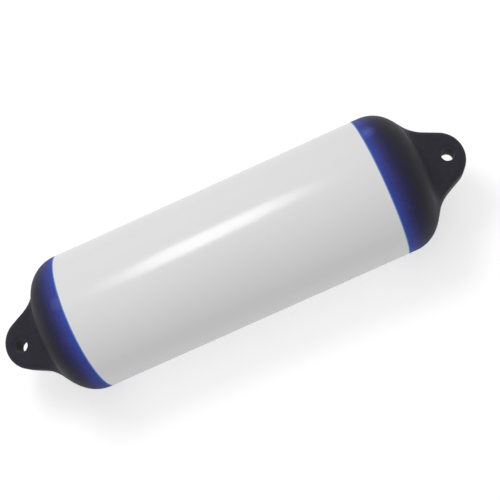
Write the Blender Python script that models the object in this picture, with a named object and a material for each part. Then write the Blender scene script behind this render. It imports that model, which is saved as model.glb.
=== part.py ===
"""Pneumatic boat fender: a long round air-filled skin with a flattened rope eye moulded on each end.

The fender lies on its side as it would on a quay. +X runs along it toward the end that holds the
air valve, +Z is up, and the floor is z = 0. The eyes lie flat, so a rope passes them up and down.
All sizes are in metres.
"""

import math

import bmesh
import bpy
import numpy as np
from mathutils import Matrix, Vector

# Barrel and shoulders
BARREL_RADIUS = 0.1100
STRAIGHT_HALF_LENGTH = 0.2562
SHOULDER_RADIUS = 0.0545
END_FACE_LEAN = math.radians(15.0)
REST_FLAT_DEPTH = 0.0007

# Blue coat, counted back from where the shoulder starts
COAT_SET_BACK = 0.0094

# Lugs that carry the rope eyes
LUG_REACH = 0.0844
LUG_TIP_RADIUS = 0.0423
LUG_FLANK_ANGLE = math.radians(26.4)
LUG_THICKNESS = 0.0450
LUG_EDGE_RADIUS = 0.0095
LUG_ROOT_LENGTH = 0.0660
ROOT_BLEND = 0.0242

# Rope eyes
EYE_RADIUS = 0.0100
EYE_LIP_RADIUS = 0.0050
EYE_OUT_FROM_TIP_CENTRE = 0.0162

# Hollow of the skin
WALL = 0.0030
CAVITY_CROWN_RADIUS = 0.0300

# Air valve in the end face under the lug
VALVE_BELOW_AXIS = 0.0620
VALVE_SEAT_DEPTH = 0.0026
VALVE_FLANGE_RADIUS = 0.0110
VALVE_FLANGE_THICKNESS = 0.0018
VALVE_STEM_RADIUS = 0.0065
VALVE_STEM_LENGTH = 0.0125
VALVE_BOSS_RADIUS = 0.0125
VALVE_BOSS_LENGTH = 0.0080
SCREW_HEAD_RADIUS = 0.0042
SCREW_HEAD_HEIGHT = 0.0024
SCREW_SHANK_RADIUS = 0.0022
SCREW_SLOT_WIDTH = 0.0012
SCREW_SLOT_DEPTH = 0.0011
SEAL_THICKNESS = 0.0012
SEAL_WIDTH = 0.0013
FIT_GAP = 0.0003

# Facets, and how near two corners are taken as one
WELD = 0.000001
SKIN_SEGMENTS = 60
CAVITY_SEGMENTS = 48
EYE_SEGMENTS = 28
VALVE_SEGMENTS = 32

# Places that follow from the sizes above
AXIS_HEIGHT = BARREL_RADIUS - REST_FLAT_DEPTH
SEAM_HALF_SPAN = STRAIGHT_HALF_LENGTH - COAT_SET_BACK
TIP_CENTRE = STRAIGHT_HALF_LENGTH + LUG_REACH
EYE_CENTRE = TIP_CENTRE + EYE_OUT_FROM_TIP_CENTRE
LUG_HALF_THICKNESS = LUG_THICKNESS / 2


def smooth_least(first, second, blend):
    """The lesser of two distances, with the crease between them filled by a soft fillet."""
    share = np.maximum(blend - np.abs(first - second), 0.0) / blend
    return np.minimum(first, second) - share * share * blend / 4


def rounded_corner(first, second):
    """Distance outward from the corner where two faces meet."""
    outside = np.hypot(np.maximum(first, 0.0), np.maximum(second, 0.0))
    inside = np.minimum(np.maximum(first, second), 0.0)
    return outside + inside


def shell_distance(x, radius):
    """Distance outward from the round shell: barrel, rounded shoulder and leaning end face."""
    along = x - STRAIGHT_HALF_LENGTH
    across = radius - (BARREL_RADIUS - SHOULDER_RADIUS)
    cos_lean = math.cos(END_FACE_LEAN)
    sin_lean = math.sin(END_FACE_LEAN)
    end_face = along * cos_lean + across * sin_lean - SHOULDER_RADIUS
    flat_sides = np.maximum(radius - BARREL_RADIUS, end_face)
    shoulder = np.hypot(along, across) - SHOULDER_RADIUS
    on_shoulder = (along > 0) & (across * cos_lean - along * sin_lean > 0)
    return np.where(on_shoulder, shoulder, flat_sides)


def lug_plan_distance(x, y):
    """Distance outward from the lug's outline seen from above: a round tip and two spreading flanks."""
    along = x - TIP_CENTRE
    across = np.abs(y)
    cos_flank = math.cos(LUG_FLANK_ANGLE)
    sin_flank = math.sin(LUG_FLANK_ANGLE)
    flank = along * sin_flank + across * cos_flank - LUG_TIP_RADIUS
    tip = np.hypot(along, across) - LUG_TIP_RADIUS
    beside_tip = along * cos_flank - across * sin_flank > 0
    outline = np.where(beside_tip, tip, flank)
    return rounded_corner(outline, -LUG_ROOT_LENGTH - along)


def lug_distance(x, y, z):
    """Distance outward from the lug: flat cheeks with one edge radius all the way round."""
    out_of_plan = lug_plan_distance(x, y) + LUG_EDGE_RADIUS
    out_of_cheek = np.abs(z) - LUG_HALF_THICKNESS + LUG_EDGE_RADIUS
    return rounded_corner(out_of_plan, out_of_cheek) - LUG_EDGE_RADIUS


def skin_distance(points):
    """Distance outward from the whole moulding, shell and lug flowing into each other."""
    x = np.abs(points[..., 0])
    y = points[..., 1]
    z = points[..., 2]
    shell = shell_distance(x, np.hypot(y, z))
    return smooth_least(shell, lug_distance(x, y, z), ROOT_BLEND)


def surface_along(origins, directions):
    """The points where rays from inside the moulding come out through its surface."""
    near = np.zeros(origins.shape[:-1])
    far = np.full(origins.shape[:-1], 2 * BARREL_RADIUS)
    for _ in range(48):
        middle = (near + far) / 2
        inside = skin_distance(origins + directions * middle[..., None]) < 0
        near = np.where(inside, middle, near)
        far = np.where(inside, far, middle)
    return origins + directions * ((near + far) / 2)[..., None]


def skin_stations():
    """Pairs of (place on the axis, lean of the rays) for the rings of one half, middle to tip."""
    square = math.pi / 2
    stations = [(share * SEAM_HALF_SPAN, square) for share in (0.0, 0.36, 0.72, 1.0)]
    stations.append((STRAIGHT_HALF_LENGTH, square))
    sweep = square - END_FACE_LEAN
    for step in range(1, 8):
        angle = sweep * step / 7
        stations.append((STRAIGHT_HALF_LENGTH + SHOULDER_RADIUS * math.sin(angle), square))
    root_start = stations[-1][0]
    root_steps = 12
    for step in range(1, root_steps + 1):
        share = step / root_steps
        eased = share ** 1.25
        stations.append((root_start + (TIP_CENTRE - root_start) * eased, square))
    for degrees in (80, 70, 60, 50, 41, 33, 26, 20, 14, 7):
        stations.append((TIP_CENTRE, math.radians(degrees)))
    return stations


def ring_angles(count):
    """Angles round the axis, set so that one facet faces straight down and one straight up."""
    return (np.arange(count) + 0.5) * 2 * math.pi / count


def skin_angles():
    """Angles round the axis for the outer surface, with a pair set at the edges of the rest flat."""
    angles = ring_angles(SKIN_SEGMENTS)
    step = 2 * math.pi / SKIN_SEGMENTS
    flat_edge = math.acos(1 - REST_FLAT_DEPTH / BARREL_RADIUS)
    pair = max(1, int(flat_edge / step + 0.5))
    lowest = 3 * SKIN_SEGMENTS // 4
    angles[lowest - pair] = 1.5 * math.pi - flat_edge
    angles[lowest + pair - 1] = 1.5 * math.pi + flat_edge
    return angles


def skin_rings():
    """Every ring of the outer surface from the -X tip to the +X tip, without the two tip points."""
    angles = skin_angles()
    half = []
    for place, lean in skin_stations():
        origins = np.zeros((SKIN_SEGMENTS, 3))
        origins[:, 0] = place
        directions = np.empty((SKIN_SEGMENTS, 3))
        directions[:, 0] = math.cos(lean)
        directions[:, 1] = math.sin(lean) * np.cos(angles)
        directions[:, 2] = math.sin(lean) * np.sin(angles)
        half.append(surface_along(origins, directions))
    mirrored = [ring * np.array([-1.0, 1.0, 1.0]) for ring in half[:0:-1]]
    rings = mirrored + half
    for ring in rings:
        ring[:, 2] = np.maximum(ring[:, 2], REST_FLAT_DEPTH - BARREL_RADIUS)
    return rings


def closed_tube(name, rings, start, end):
    """A closed mesh from rings of equal count, with a point at each end."""
    mesh = bpy.data.meshes.new(name)
    shape = bmesh.new()
    loops = [[shape.verts.new(point) for point in ring] for ring in rings]
    first = shape.verts.new(start)
    last = shape.verts.new(end)
    count = len(loops[0])
    for near_loop, far_loop in zip(loops, loops[1:]):
        for index in range(count):
            after = (index + 1) % count
            shape.faces.new((near_loop[index], near_loop[after], far_loop[after], far_loop[index]))
    for index in range(count):
        after = (index + 1) % count
        shape.faces.new((first, loops[0][after], loops[0][index]))
        shape.faces.new((last, loops[-1][index], loops[-1][after]))
    bmesh.ops.recalc_face_normals(shape, faces=shape.faces)
    shape.to_mesh(mesh)
    shape.free()
    return add_object(name, mesh)


def add_object(name, mesh):
    """Put a mesh in the scene under its own name."""
    item = bpy.data.objects.new(name, mesh)
    bpy.context.scene.collection.objects.link(item)
    return item


def turned_piece(name, profile, segments, placing):
    """A solid turned from (radius, height) points round +Z, then put in place.

    A profile that starts and ends on the axis gives a full solid, any other closed profile a ring.
    """
    mesh = bpy.data.meshes.new(name)
    shape = bmesh.new()
    on_axis = profile[0][0] == 0.0
    loops = []
    for radius, height in profile:
        if radius == 0.0:
            loops.append([shape.verts.new((0.0, 0.0, height))])
            continue
        loop = []
        for step in range(segments):
            angle = (step + 0.5) * 2 * math.pi / segments
            loop.append(shape.verts.new((radius * math.cos(angle), radius * math.sin(angle), height)))
        loops.append(loop)
    pairs = list(zip(loops, loops[1:]))
    if not on_axis:
        pairs.append((loops[-1], loops[0]))
    for near_loop, far_loop in pairs:
        for index in range(segments):
            after = (index + 1) % segments
            if len(near_loop) == 1:
                shape.faces.new((near_loop[0], far_loop[after], far_loop[index]))
            elif len(far_loop) == 1:
                shape.faces.new((near_loop[index], near_loop[after], far_loop[0]))
            else:
                shape.faces.new((near_loop[index], near_loop[after], far_loop[after], far_loop[index]))
    bmesh.ops.recalc_face_normals(shape, faces=shape.faces)
    shape.transform(placing)
    shape.to_mesh(mesh)
    shape.free()
    return add_object(name, mesh)


def box_piece(name, size, placing):
    """A plain block centred on its own origin, then put in place."""
    mesh = bpy.data.meshes.new(name)
    shape = bmesh.new()
    bmesh.ops.create_cube(shape, size=1.0)
    bmesh.ops.scale(shape, vec=Vector(size), verts=shape.verts)
    shape.transform(placing)
    shape.to_mesh(mesh)
    shape.free()
    return add_object(name, mesh)


def carve(target, tool, operation):
    """Cut a tool away from a piece, or join it on, and keep only the welded result."""
    change = target.modifiers.new("carve", "BOOLEAN")
    change.operation = operation
    change.solver = "EXACT"
    change.object = tool
    bpy.context.view_layer.update()
    evaluated = target.evaluated_get(bpy.context.evaluated_depsgraph_get())
    result = bpy.data.meshes.new_from_object(evaluated)
    shape = bmesh.new()
    shape.from_mesh(result)
    bmesh.ops.remove_doubles(shape, verts=shape.verts, dist=WELD)
    bmesh.ops.dissolve_degenerate(shape, edges=shape.edges, dist=WELD)
    shape.to_mesh(result)
    shape.free()
    old_mesh = target.data
    target.modifiers.clear()
    target.data = result
    result.name = target.name
    bpy.data.meshes.remove(old_mesh)
    tool_mesh = tool.data
    bpy.data.objects.remove(tool)
    bpy.data.meshes.remove(tool_mesh)


def make_outer_skin():
    """The outer surface of the moulding, closed."""
    reach = TIP_CENTRE + LUG_TIP_RADIUS
    rings = skin_rings()
    return closed_tube("fender_body", rings, (-reach, 0.0, 0.0), (reach, 0.0, 0.0))


def cavity_profile():
    """(x, radius) points of one half of the air space, from the middle to the end on the axis."""
    inner_shoulder = SHOULDER_RADIUS - WALL
    centre_radius = BARREL_RADIUS - SHOULDER_RADIUS
    points = [(0.0, BARREL_RADIUS - WALL), (STRAIGHT_HALF_LENGTH, BARREL_RADIUS - WALL)]
    sweep = math.pi / 2 - END_FACE_LEAN
    for step in range(1, 7):
        angle = sweep * step / 6
        x = STRAIGHT_HALF_LENGTH + inner_shoulder * math.sin(angle)
        points.append((x, centre_radius + inner_shoulder * math.cos(angle)))
    face_x, face_radius = points[-1]
    crown_x = face_x + (face_radius - CAVITY_CROWN_RADIUS) * math.tan(END_FACE_LEAN)
    crown_sphere = CAVITY_CROWN_RADIUS / math.sin(END_FACE_LEAN)
    crown_centre = crown_x - crown_sphere * math.cos(END_FACE_LEAN)
    for share in (1.0, 0.66, 0.33):
        angle = END_FACE_LEAN * share
        x = crown_centre + crown_sphere * math.cos(angle)
        points.append((x, crown_sphere * math.sin(angle)))
    return points, crown_centre + crown_sphere


def make_cavity():
    """The air space inside the skin, as a solid to cut away."""
    points, reach = cavity_profile()
    angles = ring_angles(CAVITY_SEGMENTS)
    rings = []
    for x, radius in [(-x, radius) for x, radius in points[:0:-1]] + points:
        ring = np.empty((CAVITY_SEGMENTS, 3))
        ring[:, 0] = x
        ring[:, 1] = radius * np.cos(angles)
        ring[:, 2] = radius * np.sin(angles)
        rings.append(ring)
    return closed_tube("cavity", rings, (-reach, 0.0, 0.0), (reach, 0.0, 0.0))


def make_eye_tool(side):
    """What is cut away for one rope eye: a straight bore with rounded lips at both cheeks."""
    lip_end = math.radians(75.0)
    clear_of_cheek = 0.003
    upper = []
    for step in range(5):
        angle = lip_end * step / 4
        radius = EYE_RADIUS + EYE_LIP_RADIUS * (1 - math.cos(angle))
        height = LUG_HALF_THICKNESS - EYE_LIP_RADIUS + EYE_LIP_RADIUS * math.sin(angle)
        upper.append((radius, height))
    radius, height = upper[-1]
    over_cheek = 3 * (LUG_HALF_THICKNESS - height)
    radius = radius + over_cheek * math.tan(lip_end)
    upper.append((radius, height + over_cheek))
    upper.append((radius, LUG_HALF_THICKNESS + clear_of_cheek))
    lower = [(radius, -height) for radius, height in reversed(upper)]
    profile = [(0.0, lower[0][1])] + lower + upper + [(0.0, upper[-1][1])]
    placing = Matrix.Translation((side * EYE_CENTRE, 0.0, 0.0))
    return turned_piece("eye", profile, EYE_SEGMENTS, placing)


def valve_placing():
    """Where the valve sits: on the +X end face under the lug, +Z of the valve pointing outward."""
    face_x = STRAIGHT_HALF_LENGTH + SHOULDER_RADIUS * math.cos(END_FACE_LEAN)
    face_radius = BARREL_RADIUS - SHOULDER_RADIUS + SHOULDER_RADIUS * math.sin(END_FACE_LEAN)
    x = face_x + (face_radius - VALVE_BELOW_AXIS) * math.tan(END_FACE_LEAN)
    turn = Matrix.Rotation(math.pi / 2 + END_FACE_LEAN, 4, "Y")
    return Matrix.Translation((x, 0.0, -VALVE_BELOW_AXIS)) @ turn


def make_valve_boss(placing):
    """The thick pad inside the skin that the valve stem runs through."""
    top = -(VALVE_SEAT_DEPTH + WALL) / 2
    bottom = -WALL - VALVE_BOSS_LENGTH
    profile = [(0.0, bottom), (VALVE_BOSS_RADIUS, bottom), (VALVE_BOSS_RADIUS, top), (0.0, top)]
    return turned_piece("boss", profile, VALVE_SEGMENTS, placing)


def make_valve_seat(placing):
    """What is cut away for the valve: a flat round seat and the bore for the stem."""
    seat = VALVE_FLANGE_RADIUS + FIT_GAP
    bore = VALVE_STEM_RADIUS + FIT_GAP
    bottom = -WALL - VALVE_BOSS_LENGTH - 0.004
    profile = [
        (0.0, bottom),
        (bore, bottom),
        (bore, -VALVE_SEAT_DEPTH),
        (seat, -VALVE_SEAT_DEPTH),
        (seat, 0.004),
        (0.0, 0.004),
    ]
    return turned_piece("seat", profile, VALVE_SEGMENTS, placing)


def make_fender_body():
    """The one-piece moulding: skin, lugs with their eyes, air space and valve seat."""
    body = make_outer_skin()
    placing = valve_placing()
    carve(body, make_cavity(), "DIFFERENCE")
    carve(body, make_valve_boss(placing), "UNION")
    carve(body, make_valve_seat(placing), "DIFFERENCE")
    carve(body, make_eye_tool(1), "DIFFERENCE")
    carve(body, make_eye_tool(-1), "DIFFERENCE")
    return body


def valve_levels():
    """Heights of the valve's own faces, from its flange's outer face inward."""
    flange_bottom = -VALVE_SEAT_DEPTH + FIT_GAP
    flange_top = flange_bottom + VALVE_FLANGE_THICKNESS
    head_top = flange_top - FIT_GAP
    head_bottom = head_top - SCREW_HEAD_HEIGHT
    seal_top = head_bottom - FIT_GAP
    seal_bottom = seal_top - SEAL_THICKNESS
    pocket_floor = seal_bottom - FIT_GAP
    stem_bottom = flange_bottom - VALVE_STEM_LENGTH
    return flange_bottom, flange_top, head_top, head_bottom, seal_top, seal_bottom, pocket_floor, stem_bottom


def make_valve_body(placing):
    """The stiff insert that the air screw closes: flange, stem, head pocket and air bore."""
    levels = valve_levels()
    flange_bottom, flange_top, pocket_floor, stem_bottom = levels[0], levels[1], levels[6], levels[7]
    pocket = SCREW_HEAD_RADIUS + FIT_GAP
    bore = SCREW_SHANK_RADIUS + FIT_GAP
    edge = 0.0005
    profile = [
        (bore, pocket_floor),
        (pocket, pocket_floor),
        (pocket, flange_top),
        (VALVE_FLANGE_RADIUS - edge, flange_top),
        (VALVE_FLANGE_RADIUS, flange_top - edge),
        (VALVE_FLANGE_RADIUS, flange_bottom),
        (VALVE_STEM_RADIUS, flange_bottom),
        (VALVE_STEM_RADIUS, stem_bottom + edge),
        (VALVE_STEM_RADIUS - edge, stem_bottom),
        (bore, stem_bottom),
    ]
    return turned_piece("valve_body", profile, VALVE_SEGMENTS, placing)


def make_valve_seal(placing):
    """The soft flat ring under the screw's head."""
    levels = valve_levels()
    seal_top, seal_bottom = levels[4], levels[5]
    inner = SCREW_SHANK_RADIUS + FIT_GAP
    outer = inner + SEAL_WIDTH
    profile = [(inner, seal_bottom), (outer, seal_bottom), (outer, seal_top), (inner, seal_top)]
    return turned_piece("valve_seal_ring", profile, VALVE_SEGMENTS, placing)


def make_valve_screw(placing):
    """The slotted screw that shuts the air bore."""
    levels = valve_levels()
    head_top, head_bottom, stem_bottom = levels[2], levels[3], levels[7]
    edge = 0.0004
    profile = [
        (0.0, stem_bottom),
        (SCREW_SHANK_RADIUS - edge, stem_bottom),
        (SCREW_SHANK_RADIUS, stem_bottom + edge),
        (SCREW_SHANK_RADIUS, head_bottom),
        (SCREW_HEAD_RADIUS, head_bottom),
        (SCREW_HEAD_RADIUS, head_top - edge),
        (SCREW_HEAD_RADIUS - edge, head_top),
        (0.0, head_top),
    ]
    screw = turned_piece("valve_screw", profile, VALVE_SEGMENTS, placing)
    slot_size = (3 * SCREW_HEAD_RADIUS, SCREW_SLOT_WIDTH, 2 * SCREW_SLOT_DEPTH)
    slot_placing = placing @ Matrix.Translation((0.0, 0.0, head_top))
    carve(screw, box_piece("slot", slot_size, slot_placing), "DIFFERENCE")
    return screw


def plain_material(name, colour, roughness):
    """A plain surface for a piece."""
    material = bpy.data.materials.new(name)
    material.use_nodes = True
    surface = material.node_tree.nodes["Principled BSDF"]
    surface.inputs["Base Color"].default_value = (*colour, 1.0)
    surface.inputs["Roughness"].default_value = roughness
    return material


def paint_body(body):
    """White barrel between the two seams, dark blue beyond them."""
    body.data.materials.clear()
    body.data.materials.append(plain_material("white_vinyl", (0.80, 0.80, 0.78), 0.3))
    body.data.materials.append(plain_material("blue_vinyl", (0.02, 0.025, 0.09), 0.3))
    for face in body.data.polygons:
        face.material_index = 1 if abs(face.center.x) > SEAM_HALF_SPAN else 0


def finish_piece(piece, material):
    """Lift the piece from the axis to its height over the floor, and give it surface and shading."""
    if material is not None:
        piece.data.materials.clear()
        piece.data.materials.append(material)
    piece.data.transform(Matrix.Translation((0.0, 0.0, AXIS_HEIGHT)))
    piece.data.shade_smooth()
    piece.data.set_sharp_from_angle(angle=math.radians(35.0))


def clear_scene():
    """Start from an empty scene."""
    for item in list(bpy.data.objects):
        bpy.data.objects.remove(item)


def main():
    """Make the whole fender."""
    clear_scene()
    body = make_fender_body()
    paint_body(body)
    finish_piece(body, None)
    placing = valve_placing()
    valve_material = plain_material("valve_plastic", (0.03, 0.03, 0.035), 0.4)
    finish_piece(make_valve_body(placing), valve_material)
    finish_piece(make_valve_seal(placing), plain_material("seal_rubber", (0.02, 0.02, 0.02), 0.7))
    finish_piece(make_valve_screw(placing), plain_material("screw_plastic", (0.07, 0.07, 0.075), 0.4))


main()
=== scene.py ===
"""A long round boat fender: glossy white vinyl barrel, dark blue coated ends, a rope eye on each end.

+X runs along the fender toward the end with the air valve, +Z is up and the floor is z = 0.
The skin and the valve's pieces are made finely here, in the places that the solids hold for them.
All sizes are in metres.
"""

import math

import bmesh
import bpy
from mathutils import Euler, Matrix, Vector


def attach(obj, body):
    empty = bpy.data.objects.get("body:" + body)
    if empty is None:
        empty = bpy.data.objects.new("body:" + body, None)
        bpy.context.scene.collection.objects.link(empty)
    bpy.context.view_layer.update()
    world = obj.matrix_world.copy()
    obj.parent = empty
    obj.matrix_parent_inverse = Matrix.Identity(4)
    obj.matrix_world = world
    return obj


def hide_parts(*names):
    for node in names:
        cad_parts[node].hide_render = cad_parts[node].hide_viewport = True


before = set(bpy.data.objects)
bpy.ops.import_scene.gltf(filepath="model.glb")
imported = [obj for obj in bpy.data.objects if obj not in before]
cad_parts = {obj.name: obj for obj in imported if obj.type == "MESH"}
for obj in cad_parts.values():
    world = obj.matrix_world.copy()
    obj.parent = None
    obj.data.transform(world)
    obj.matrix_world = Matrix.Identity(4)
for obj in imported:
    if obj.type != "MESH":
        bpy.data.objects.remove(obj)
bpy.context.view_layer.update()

# Moulding
BARREL_RADIUS = 0.1100
STRAIGHT_HALF_LENGTH = 0.2562
SHOULDER_RADIUS = 0.0545
END_FACE_LEAN = math.radians(15.0)
REST_FLAT_DEPTH = 0.0007
AXIS_HEIGHT = BARREL_RADIUS - REST_FLAT_DEPTH

# Lugs and rope eyes; the fillet at a lug's root adds at most its share of the blend
LUG_REACH = 0.0844
LUG_TIP_RADIUS = 0.0423
LUG_FLANK_ANGLE = math.radians(26.4)
LUG_THICKNESS = 0.0450
LUG_EDGE_RADIUS = 0.0095
LUG_ROOT_LENGTH = 0.0660
ROOT_BLEND = 0.0242
FILLET_SHARE = 0.25
EYE_RADIUS = 0.0100
EYE_LIP_RADIUS = 0.0050
EYE_OUT_FROM_TIP_CENTRE = 0.0162
EYE_PLACE = STRAIGHT_HALF_LENGTH + LUG_REACH + EYE_OUT_FROM_TIP_CENTRE

# Rope eye's cutter: where its straight part, its lip and its flare end, as shares of the rings from
# its middle to its end
EYE_STRAIGHT_END = 0.2
EYE_LIP_END = 0.9
EYE_FLARE_END = 0.925
# How far round the lip turns, how much the flare widens it and how far it runs on past the lip
EYE_LIP_SWEEP = math.radians(82.0)
EYE_FLARE_WIDTH = 0.0012
EYE_OVERRUN = 0.003

# Valve in the end face under the lug
WALL = 0.0030
VALVE_BELOW_AXIS = 0.0620
VALVE_SEAT_DEPTH = 0.0026
VALVE_FLANGE_RADIUS = 0.0110
VALVE_FLANGE_THICKNESS = 0.0018
VALVE_STEM_RADIUS = 0.0065
VALVE_STEM_LENGTH = 0.0125
VALVE_BOSS_LENGTH = 0.0080
SCREW_HEAD_RADIUS = 0.0042
SCREW_HEAD_HEIGHT = 0.0024
SCREW_SHANK_RADIUS = 0.0022
SCREW_SLOT_WIDTH = 0.0012
SCREW_SLOT_DEPTH = 0.0011
SEAL_THICKNESS = 0.0012
SEAL_WIDTH = 0.0013
FIT_GAP = 0.0003
SEAT_OVERRUN = 0.004

# A shallow ring moulded into the valve's flange
GROOVE_RADIUS = 0.0078
GROOVE_HALF_WIDTH = 0.0004
GROOVE_DEPTH = 0.0003

# Radius of each corner along the profiles of the valve's pieces
INSERT_CORNERS = (0.0, 0.0, 0.0003, 0.0002, 0.0001, 0.0001, 0.0002, 0.0006, 0.0002, 0.0, 0.0005, 0.0)
GASKET_CORNERS = (0.0003, 0.0003, 0.0003, 0.0003)
PLUG_CORNERS = (0.0, 0.0004, 0.0, 0.0003, 0.0005, 0.0)

# Noise: each one below is a pair, its features to the metre and its detail. First come the two values
# that noise seldom leaves, its middle and how strong its finer steps are
NOISE_LOW = 0.3
NOISE_HIGH = 0.7
NOISE_MIDDLE = 0.5
NOISE_ROUGHNESS = 0.5

# White vinyl: its mottle of two shades, its roughness and haze, its slow wave and its fine peel
WHITE_DARK = (0.786, 0.787, 0.786)
WHITE_LIGHT = (0.828, 0.828, 0.827)
WHITE_CLOUD = (6.0, 3.0)
WHITE_ROUGHNESS = (0.15, 0.21)
WHITE_HAZE = (14.0, 4.0)
WHITE_WAVE = (7.0, 1.0)
WHITE_WAVE_STRETCH = (0.5, 1.0, 1.0)
WHITE_WAVE_HEIGHT = 0.0020
WHITE_PEEL = (260.0, 2.0)
WHITE_PEEL_HEIGHT = 0.00006

# Faint flash line where the two halves of the mould met
PARTING_HALF_WIDTH = 0.0008
PARTING_HEIGHT = 0.0002
PARTING_STRENGTH = 0.6

# Blue coat: where its two edges lie along the barrel
COAT_EDGE_PLAIN_END = -0.2515
COAT_EDGE_VALVE_END = 0.2429

# Pale rim of the coat: its blue, and how far inside the edge it starts to fade and is gone
COAT_RIM_BLUE = (0.19, 0.34, 0.65)
COAT_RIM_SPAN = (0.0004, 0.0023)

# Blue from the edge inward: the depth that the stops share out, and the reach of a slow drift in it
COAT_DEPTH = 0.084
COAT_STOPS = (
    (0.0, (0.044, 0.089, 0.424)),
    (0.055, (0.039, 0.070, 0.364)),
    (0.15, (0.040, 0.046, 0.223)),
    (0.23, (0.032, 0.032, 0.127)),
    (0.31, (0.0225, 0.0230, 0.0695)),
    (0.39, (0.0215, 0.0200, 0.0440)),
    (0.52, (0.0225, 0.0210, 0.0290)),
    (0.80, (0.0290, 0.0270, 0.0385)),
)
COAT_DRIFT_REACH = 0.010
COAT_DRIFT = (22.0, 3.0)

# Coat's flecks, its roughness and haze, how strongly it mirrors, its slow wave and its fine peel
COAT_FLECK_SPAN = (0.90, 1.08)
COAT_FLECK = (240.0, 3.0)
COAT_ROUGHNESS = (0.50, 0.62)
COAT_HAZE = (16.0, 4.0)
COAT_SPECULAR = 0.13
COAT_WAVE = (12.0, 1.0)
COAT_WAVE_HEIGHT = 0.0015
COAT_PEEL = (420.0, 2.0)
COAT_PEEL_HEIGHT = 0.00005

# Worn walls of the rope eyes: their grey, and how far past the bore it starts to fade and is gone
EYE_WORN_GREY = (0.100, 0.096, 0.112)
EYE_WORN_SPAN = (0.0002, 0.0022)

# Painted glints on the coat, pale blue spots that stand in for highlights: place, reach and how strongly
# each one shows, and their blue
PAINTED_GLINT_SPOTS = (
    ((0.2522, 0.0625, 0.1998), 0.015, 0.85),
    ((-0.2565, 0.0150, 0.2175), 0.014, 0.50),
)
PAINTED_GLINT_BLUE = (0.095, 0.130, 0.460)

# Stiff plastics and the seal's rubber: a darker and a lighter shade of each, and how rough it is
VALVE_SHADES = ((0.024, 0.024, 0.028), (0.036, 0.036, 0.040))
VALVE_ROUGHNESS = 0.38
SEAL_SHADES = ((0.016, 0.016, 0.016), (0.024, 0.024, 0.024))
SEAL_ROUGHNESS = 0.70
SCREW_SHADES = ((0.060, 0.060, 0.064), (0.080, 0.080, 0.085))
SCREW_ROUGHNESS = 0.40

# Grain of the plastics: its mottle, how far either way it shifts the roughness, and its bumps
GRAIN = (900.0, 4.0)
GRAIN_ROUGHNESS_SPREAD = 0.06
GRAIN_BUMP = (1800.0, 3.0)
GRAIN_BUMP_HEIGHT = 0.00003

# Light of the surroundings: its even part, what the high far side adds, what the low near side adds
# and how fast that fades
EVEN_LIGHT = 0.554
FAR_SIDE_LIGHT = 0.345
NEAR_EDGE_LIGHT = 0.13
NEAR_EDGE_FALLOFF = 4.0

# Floor: its half width, its paint, and how much whiter it looks to the camera and in gloss
FLOOR_HALF_WIDTH = 6.0
FLOOR_PAINT = (0.90, 0.90, 0.90, 1.0)
FLOOR_LIFT = 0.42
FLOOR_LIFT_IN_GLOSS = 0.24

# Colour of the floor's lift and of the surroundings
PLAIN_WHITE = (1.0, 1.0, 1.0, 1.0)

# Lamp strip over the far side: its middle, where it points, how far it slants and how long a slice is
STRIP_PLACE = (-0.124, 0.645, 1.3755)
STRIP_AIM = (-0.124, 0.0, 0.11)
STRIP_SLANT = 0.32
STRIP_SLICE = 0.10
# Each slice: its place along the strip, its width across it and its power
STRIP_SLICES = (
    (-0.30, 0.28, 0.15),
    (-0.20, 0.42, 0.66),
    (-0.10, 0.485, 1.23),
    (0.0, 0.485, 1.15),
    (0.10, 0.485, 1.15),
    (0.20, 0.40, 0.70),
    (0.30, 0.22, 0.08),
)

# Camera: its place, its turn in degrees, and its lens and sensor in millimetres
CAMERA_PLACE = (0.09557, -0.33383, 1.55230)
CAMERA_TURN = (10.6567, 7.6560, -23.1486)
CAMERA_LENS = 69.274
CAMERA_SENSOR = 36.0

# How finely things are made
SKIN_AROUND = 200
SKIN_ALONG = 264
SEARCH_STEPS = 26
EYE_AROUND = 72
EYE_ALONG = 60
VALVE_AROUND = 96
CORNER_STEPS = 4

# The angle past which an edge is sharp, and how near points are merged and cut
SHARP_ANGLE = math.radians(40.0)
MERGE_DISTANCE = 0.000005
CUT_TOLERANCE = 0.000001

# Skin's net: where its barrel, its shoulder and its root end, as shares of the rings from its middle
# to its tip
NET_BARREL_END = 0.16
NET_SHOULDER_END = 0.36
NET_ROOT_END = 0.72
# How its root's rings crowd toward the shoulder, and how far its last ring's rays lean from the axis
NET_ROOT_EASING = 1.5
NET_TIP_LEAN = 0.03

# Numbers of the colour sockets on a mix node
MIX_FIRST_COLOUR = 6
MIX_SECOND_COLOUR = 7
MIX_COLOUR_RESULT = 2


# Small helpers for node trees


def wire(tree, source, socket):
    """Feed a socket from another socket, or set it to a plain value."""
    if isinstance(source, bpy.types.NodeSocket):
        tree.links.new(source, socket)
    else:
        socket.default_value = source


def reckon(tree, operation, *values):
    """One step of arithmetic."""
    node = tree.nodes.new("ShaderNodeMath")
    node.operation = operation
    for value, socket in zip(values, node.inputs):
        wire(tree, value, socket)
    return node.outputs[0]


def remap(tree, value, from_low, from_high, to_low, to_high):
    """Carry a value from one range to another, held at both ends."""
    node = tree.nodes.new("ShaderNodeMapRange")
    for index, source in enumerate((value, from_low, from_high, to_low, to_high)):
        wire(tree, source, node.inputs[index])
    return node.outputs[0]


def split(tree, vector):
    """The three parts of a vector."""
    node = tree.nodes.new("ShaderNodeSeparateXYZ")
    wire(tree, vector, node.inputs[0])
    return node.outputs[0], node.outputs[1], node.outputs[2]


def joined(tree, x, y, z):
    """A vector from its three parts."""
    node = tree.nodes.new("ShaderNodeCombineXYZ")
    for value, socket in zip((x, y, z), node.inputs):
        wire(tree, value, socket)
    return node.outputs[0]


def hypotenuse(tree, first, second):
    """Square root of the sum of two squares."""
    square = reckon(tree, "MULTIPLY", first, first)
    return reckon(tree, "SQRT", reckon(tree, "MULTIPLY_ADD", second, second, square))


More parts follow.
